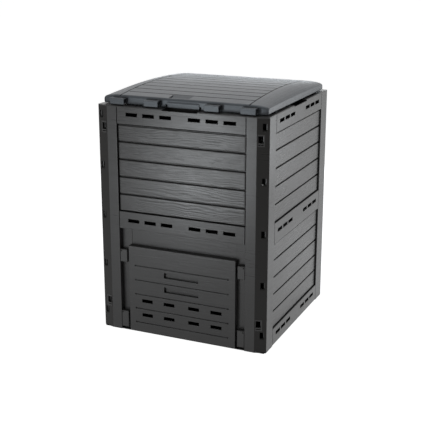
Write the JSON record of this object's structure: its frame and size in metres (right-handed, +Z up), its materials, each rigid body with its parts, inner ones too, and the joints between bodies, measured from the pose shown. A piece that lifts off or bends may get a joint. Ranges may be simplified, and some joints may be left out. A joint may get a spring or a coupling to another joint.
{
  "type": "compost bin with lid",
  "caption": "Square garden composter of boarded plastic walls with vent slots, an arched hinged lid and a lift-up emptying door low in the front wall.",
  "frame": {"origin": "middle of the square footprint, on the ground", "axes": "+Z up, -Y the front with the emptying door, +X the bin's right-hand side seen from the front"},
  "size_m": [0.6, 0.6, 0.826],
  "materials": {
    "wall_plastic": "satin, moulded wood grain",
    "lid_plastic": "satin, moulded wood grain",
    "fitting_plastic": "satin"
  },
  "bodies": {
    "bin": {"front_panel": "wall_plastic", "back_panel": "wall_plastic", "left_panel": "wall_plastic", "right_panel": "wall_plastic", "door_keeper_upper_left": "fitting_plastic", "door_keeper_upper_right": "fitting_plastic", "door_keeper_lower_left": "fitting_plastic", "door_keeper_lower_right": "fitting_plastic", "corner_lock_front_left_upper": "fitting_plastic", "corner_lock_front_left_lower": "fitting_plastic", "corner_lock_front_right_upper": "fitting_plastic", "corner_lock_front_right_lower": "fitting_plastic", "corner_lock_back_left_upper": "fitting_plastic", "corner_lock_back_left_lower": "fitting_plastic", "corner_lock_back_right_upper": "fitting_plastic", "corner_lock_back_right_lower": "fitting_plastic", "hinge_pin_1": "fitting_plastic", "hinge_pin_2": "fitting_plastic", "hinge_pin_3": "fitting_plastic", "hinge_pin_4": "fitting_plastic"},
    "lid": {"lid": "lid_plastic"},
    "door": {"door": "wall_plastic"}
  },
  "joints": [
    {"name": "lid_hinge", "type": "hinge", "parent": "bin", "child": "lid", "pos_m": [0, 0.2815, 0.793], "axis": [-1, 0, 0], "range_deg": [0, 105]},
    {"name": "door_lift", "type": "slide", "parent": "bin", "child": "door", "axis": [0, 0, 1], "range_m": [0, 0.048]}
  ]
}
